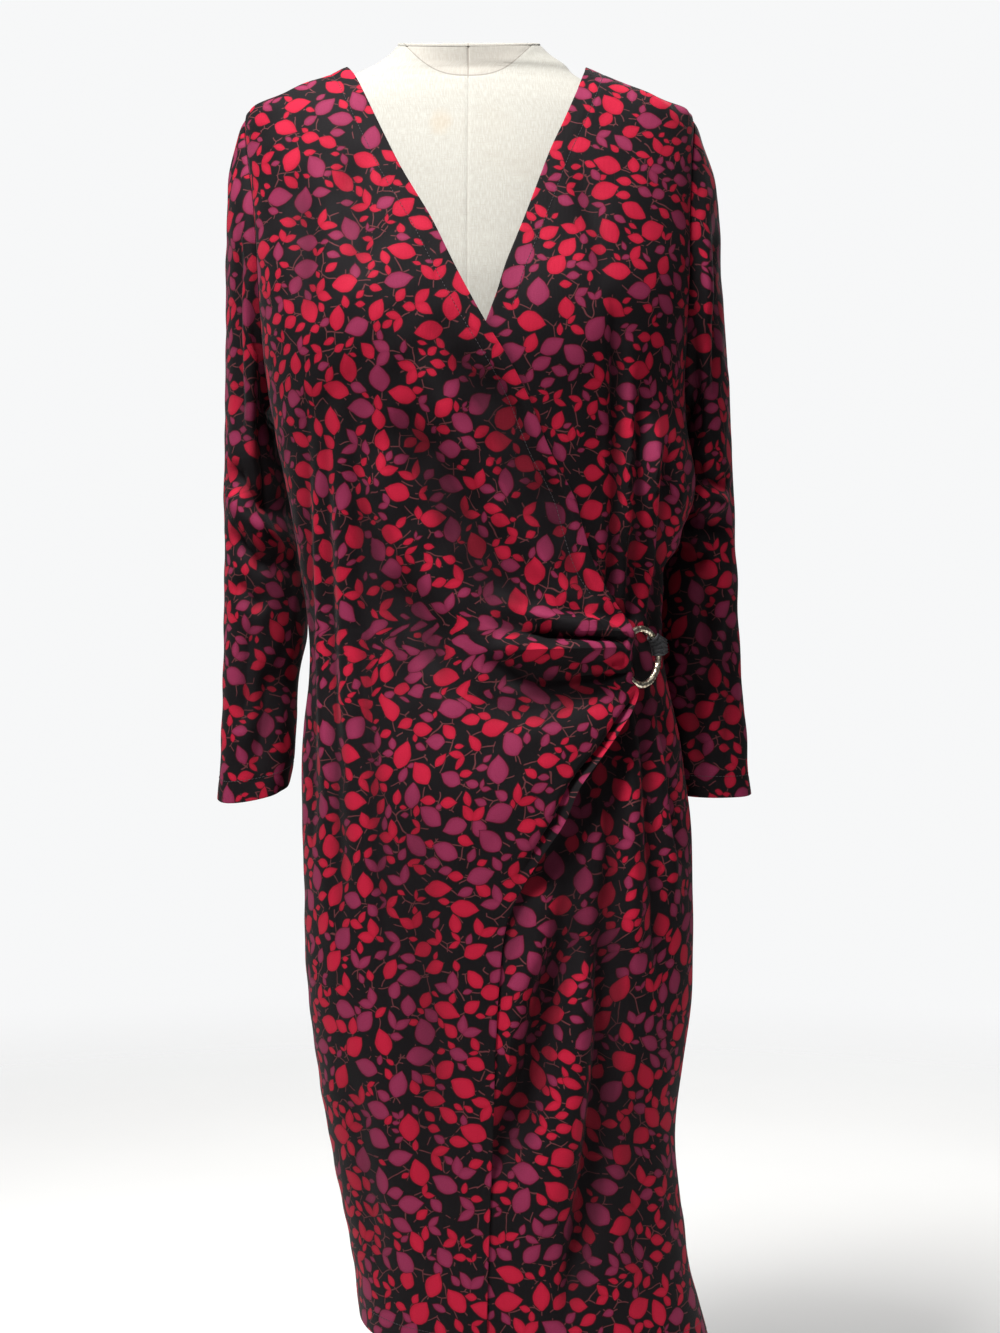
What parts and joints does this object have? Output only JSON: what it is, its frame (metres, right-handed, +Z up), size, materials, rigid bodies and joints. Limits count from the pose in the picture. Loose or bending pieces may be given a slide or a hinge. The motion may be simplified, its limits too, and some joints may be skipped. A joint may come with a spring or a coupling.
{
  "type": "wrap dress on dress form",
  "caption": "Long-sleeved wrap dress of leaf-printed jersey, gathered through a ring at the left hip, on a limbless dress form with pole and round base.",
  "frame": {"origin": "on the floor, on the underside of the base, below the middle of the neck", "axes": "+Z up, the front of the dress faces -Y, the wearer's left is +X"},
  "size_m": [0.4989, 0.34, 1.4806],
  "materials": {
    "printed_jersey": "matt printed jersey, red and plum leaves on near black",
    "linen": "natural linen",
    "light_gold": "light gold, hammered",
    "black_band": "matt black",
    "pole_steel": "brushed",
    "base_paint": "satin black"
  },
  "bodies": {
    "root": {"back": "printed_jersey", "front_right_over": "printed_jersey", "front_left_under": "printed_jersey", "sleeve_right": "printed_jersey", "sleeve_left": "printed_jersey", "ring": "light_gold", "ring_tab": "black_band", "form_body": "linen", "neck_cap": "linen", "pole": "pole_steel", "base": "base_paint"}
  },
  "joints": []
}
